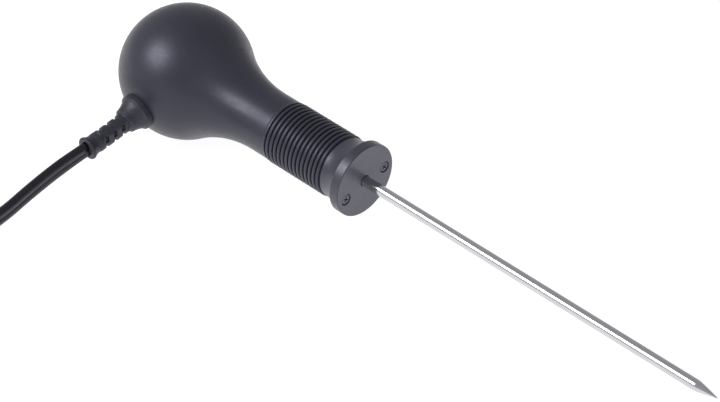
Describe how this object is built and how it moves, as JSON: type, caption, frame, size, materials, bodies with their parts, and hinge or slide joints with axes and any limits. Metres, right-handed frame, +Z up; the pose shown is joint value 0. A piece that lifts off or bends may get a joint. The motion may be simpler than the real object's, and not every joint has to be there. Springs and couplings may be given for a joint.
{
  "type": "penetration probe for a food thermometer",
  "caption": "Bulb-handled penetration probe of a food thermometer: ribbed neck, nose cap, polished needle with a pencil point, strain relief and a coiled twin lead with a flat-blade plug.",
  "frame": {"origin": "on the table, midway between the back of the bulb and the needle's tip, with the lead left out", "axes": "+X from the bulb towards the needle's tip, +Z up from the table, the lead leaves the bulb towards -Y; the needle slopes down 5.65 degrees, because the bulb and the needle's shoulder touch the table"},
  "size_m": [0.2794, 0.1594, 0.0426],
  "materials": {
    "handle_plastic": "satin moulded, dark slate grey",
    "cap_plastic": "semi-gloss moulded, slate grey",
    "boot_rubber": "satin moulded",
    "needle_steel": "polished stainless steel",
    "screw_steel": "grey coated steel",
    "plain_steel": "plain",
    "brass_parts": "turned",
    "seal_silicone": "smooth silicone",
    "insulation": "smooth",
    "filler": "cast",
    "cord_pvc": "glossy",
    "core_red": "glossy",
    "core_black": "glossy",
    "sleeve_black": "heat-shrunk",
    "tie_nylon": "moulded",
    "coil_tie_film": "plastic-coated wire",
    "plug_plastic": "moulded",
    "blade_alloy": "stamped alloy"
  },
  "bodies": {
    "probe": {"handle_body": "handle_plastic", "nose_cap": "cap_plastic", "nose_cap_screws": "screw_steel", "nose_seal": "seal_silicone", "needle_collar": "brass_parts", "collar_seal": "seal_silicone", "collar_nut": "brass_parts", "needle_tube": "needle_steel", "needle_tip": "needle_steel", "sensor_bead": "plain_steel", "tip_filler": "filler", "lead_sleeve": "insulation", "tube_end_seal": "seal_silicone", "sensor_lead_positive": "brass_parts", "sensor_lead_negative": "plain_steel", "splice_crimps": "plain_steel", "splice_sleeves": "sleeve_black", "cord_core_positive": "core_red", "cord_core_negative": "core_black", "cord_anchor_tie": "tie_nylon", "cord_inner": "cord_pvc", "strain_relief_boot": "boot_rubber", "lead_cord": "cord_pvc", "cord_coil": "cord_pvc", "coil_tie": "coil_tie_film", "cord_tail": "cord_pvc", "plug_base": "plug_plastic", "plug_insert": "brass_parts", "plug_blade_positive": "blade_alloy", "plug_blade_negative": "blade_alloy", "plug_terminal_screws": "plain_steel", "plug_grommet": "boot_rubber", "plug_core_positive": "core_red", "plug_core_negative": "core_black"},
    "plug_cover": {"plug_cover": "plug_plastic"},
    "plug_cover_screw": {"plug_cover_screw": "plain_steel"}
  },
  "joints": [
    {"name": "plug_cover_lift", "type": "slide", "parent": "probe", "child": "plug_cover", "axis": [0, 0, 1], "range_m": [0, 0.012]},
    {"name": "plug_cover_screw_turn", "type": "hinge", "parent": "plug_cover", "child": "plug_cover_screw", "pos_m": [-0.158, -0.0624, 0.005], "axis": [0, 0, 1], "continuous": true}
  ]
}
